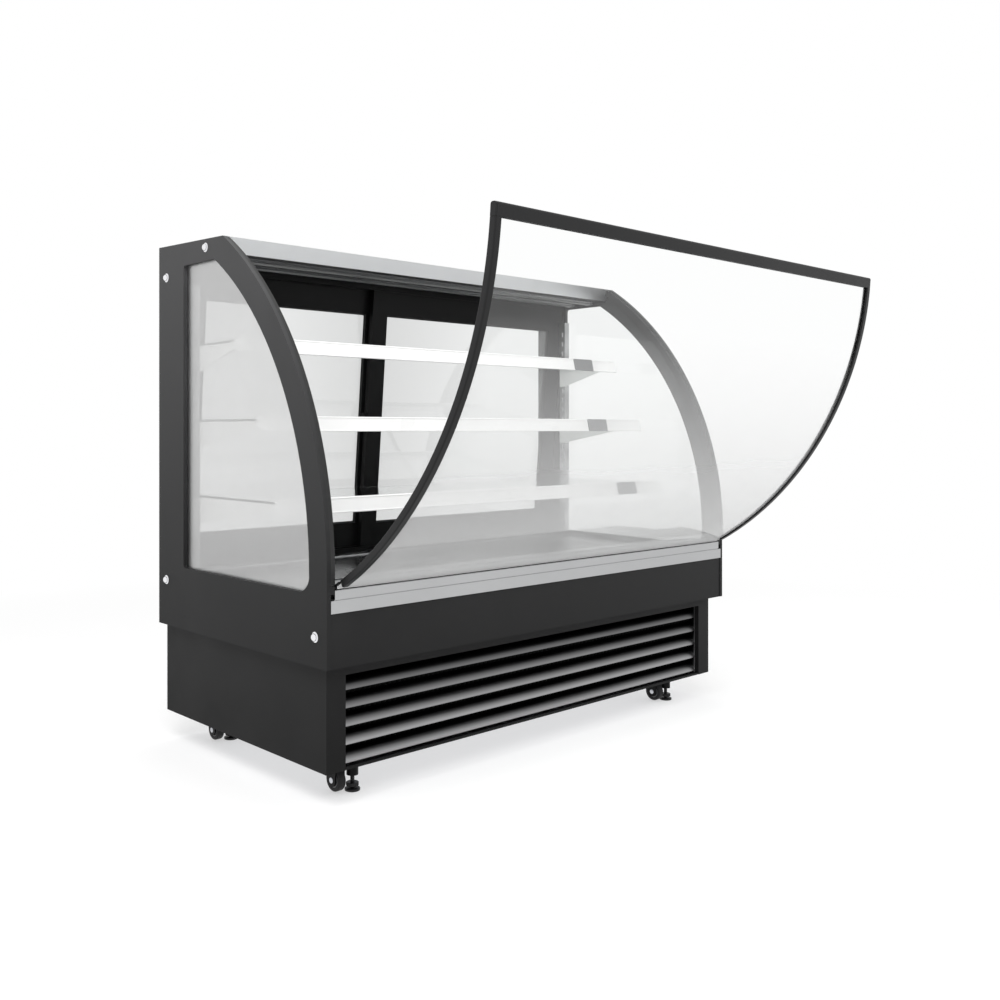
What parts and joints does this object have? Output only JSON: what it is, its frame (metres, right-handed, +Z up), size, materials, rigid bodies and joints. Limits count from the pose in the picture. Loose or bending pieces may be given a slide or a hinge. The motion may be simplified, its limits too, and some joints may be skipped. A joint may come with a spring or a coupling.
{
  "type": "refrigerated display case",
  "caption": "Refrigerated bakery display case with a curved front glass swung forward, glass shelves, sliding rear doors and a louvred base on levelling casters.",
  "frame": {"origin": "on the floor, in the middle of the object's footprint with the front glass swung open", "axes": "+X along the case to the customer's right, +Y from the customer's side to the back, +Z up"},
  "size_m": [1.417, 1.1644, 1.228],
  "materials": {
    "charcoal_paint": "semi-matt charcoal powder coat",
    "black_paint": "satin black paint",
    "white_paint": "white powder coat",
    "satin_aluminium": "satin anodised",
    "coil_aluminium": "mill finish fins",
    "stainless": "brushed stainless",
    "zinc_steel": "bright zinc plate",
    "chrome": "polished",
    "clear_glass": "clear toughened glass",
    "black_plastic": "fine matt",
    "gloss_black": "smooth gloss",
    "white_plastic": "smooth, lit from inside",
    "grey_plastic": "fine matt",
    "foam_liner": "pale coated liner over foam",
    "seal_rubber": "matt",
    "wheel_rubber": "matt",
    "copper": "bare copper pipe"
  },
  "bodies": {
    "case": {"end_panel_left": "charcoal_paint", "end_panel_right": "charcoal_paint", "end_glass_left": "clear_glass", "end_glass_right": "clear_glass", "glass_seals": "seal_rubber", "cap_nuts": "chrome", "base_shell": "charcoal_paint", "base_floor": "zinc_steel", "louvre_grille": "black_paint", "rear_cover": "charcoal_paint", "well": "foam_liner", "deck_trays": "stainless", "air_sill": "satin_aluminium", "front_panel": "charcoal_paint", "front_trim": "satin_aluminium", "hinge_blocks": "black_plastic", "canopy_cover": "satin_aluminium", "canopy_band": "satin_aluminium", "canopy_liner": "black_paint", "canopy_lamps": "satin_aluminium", "door_frame": "black_plastic", "uprights": "white_paint", "brackets": "white_paint", "shelf_top": "clear_glass", "shelf_middle": "clear_glass", "shelf_bottom": "clear_glass", "label_bars": "white_plastic", "power_blocks": "grey_plastic", "evaporator": "coil_aluminium", "condenser": "coil_aluminium", "compressor": "black_paint", "pipework": "copper", "drain_tray": "grey_plastic", "controller": "gloss_black", "cable_gland": "black_plastic", "caster_plates": "zinc_steel"},
    "glass_screen": {"front_glass": "clear_glass", "glass_strips": "black_plastic", "glass_handle": "black_plastic", "glass_rail": "black_plastic"},
    "rear_door_left": {"door_left": "black_plastic", "pane_left": "clear_glass"},
    "rear_door_right": {"door_right": "black_plastic", "pane_right": "clear_glass"},
    "evaporator_fan_body": {"evaporator_fan": "black_plastic"},
    "condenser_fan_body": {"condenser_fan": "black_plastic"},
    "light_switch_rocker": {"light_switch": "gloss_black"},
    "power_switch_rocker": {"power_switch": "gloss_black"},
    "caster_front_left": {"fork_front_left": "zinc_steel"},
    "caster_wheel_front_left": {"wheel_front_left": "wheel_rubber"},
    "caster_foot_front_left": {"foot_front_left": "black_plastic"},
    "caster_front_right": {"fork_front_right": "zinc_steel"},
    "caster_wheel_front_right": {"wheel_front_right": "wheel_rubber"},
    "caster_foot_front_right": {"foot_front_right": "black_plastic"},
    "caster_rear_left": {"fork_rear_left": "zinc_steel"},
    "caster_wheel_rear_left": {"wheel_rear_left": "wheel_rubber"},
    "caster_foot_rear_left": {"foot_rear_left": "black_plastic"},
    "caster_rear_right": {"fork_rear_right": "zinc_steel"},
    "caster_wheel_rear_right": {"wheel_rear_right": "wheel_rubber"},
    "caster_foot_rear_right": {"foot_rear_right": "black_plastic"}
  },
  "joints": [
    {"name": "glass_swing", "type": "hinge", "parent": "case", "child": "glass_screen", "pos_m": [0, -0.12032, 0.452], "axis": [-1, 0, 0], "range_deg": [0, 60]},
    {"name": "rear_door_left_slide", "type": "slide", "parent": "case", "child": "rear_door_left", "axis": [1, 0, 0], "range_m": [0, 0.7]},
    {"name": "rear_door_right_slide", "type": "slide", "parent": "case", "child": "rear_door_right", "axis": [-1, 0, 0], "range_m": [0, 0.53]},
    {"name": "evaporator_fan_spin", "type": "hinge", "parent": "case", "child": "evaporator_fan_body", "pos_m": [0, 0.22668, 0.37], "axis": [0, 1, 0], "continuous": true},
    {"name": "condenser_fan_spin", "type": "hinge", "parent": "case", "child": "condenser_fan_body", "pos_m": [-0.475, 0.04868, 0.166], "axis": [0, 1, 0], "continuous": true},
    {"name": "light_switch_tilt", "type": "hinge", "parent": "case", "child": "light_switch_rocker", "pos_m": [0.517, 0.56968, 0.2505], "axis": [1, 0, 0], "range_deg": [0, 12]},
    {"name": "power_switch_tilt", "type": "hinge", "parent": "case", "child": "power_switch_rocker", "pos_m": [0.477, 0.56968, 0.2505], "axis": [1, 0, 0], "range_deg": [0, 12]},
    {"name": "caster_swivel_front_left", "type": "hinge", "parent": "case", "child": "caster_front_left", "pos_m": [-0.562, -0.03132, 0.062], "axis": [0, 0, 1], "continuous": true},
    {"name": "wheel_spin_front_left", "type": "hinge", "parent": "caster_front_left", "child": "caster_wheel_front_left", "pos_m": [-0.595, -0.01732, 0.027], "axis": [1, 0, 0], "continuous": true},
    {"name": "foot_screw_front_left", "type": "slide", "parent": "caster_front_left", "child": "caster_foot_front_left", "axis": [0, 0, -1], "range_m": [0, 0.015]},
    {"name": "caster_swivel_front_right", "type": "hinge", "parent": "case", "child": "caster_front_right", "pos_m": [0.562, -0.03132, 0.062], "axis": [0, 0, 1], "continuous": true},
    {"name": "wheel_spin_front_right", "type": "hinge", "parent": "caster_front_right", "child": "caster_wheel_front_right", "pos_m": [0.529, -0.01732, 0.027], "axis": [1, 0, 0], "continuous": true},
    {"name": "foot_screw_front_right", "type": "slide", "parent": "caster_front_right", "child": "caster_foot_front_right", "axis": [0, 0, -1], "range_m": [0, 0.015]},
    {"name": "caster_swivel_rear_left", "type": "hinge", "parent": "case", "child": "caster_rear_left", "pos_m": [-0.562, 0.47068, 0.062], "axis": [0, 0, 1], "continuous": true},
    {"name": "wheel_spin_rear_left", "type": "hinge", "parent": "caster_rear_left", "child": "caster_wheel_rear_left", "pos_m": [-0.595, 0.48468, 0.027], "axis": [1, 0, 0], "continuous": true},
    {"name": "foot_screw_rear_left", "type": "slide", "parent": "caster_rear_left", "child": "caster_foot_rear_left", "axis": [0, 0, -1], "range_m": [0, 0.015]},
    {"name": "caster_swivel_rear_right", "type": "hinge", "parent": "case", "child": "caster_rear_right", "pos_m": [0.562, 0.47068, 0.062], "axis": [0, 0, 1], "continuous": true},
    {"name": "wheel_spin_rear_right", "type": "hinge", "parent": "caster_rear_right", "child": "caster_wheel_rear_right", "pos_m": [0.529, 0.48468, 0.027], "axis": [1, 0, 0], "continuous": true},
    {"name": "foot_screw_rear_right", "type": "slide", "parent": "caster_rear_right", "child": "caster_foot_rear_right", "axis": [0, 0, -1], "range_m": [0, 0.015]}
  ]
}
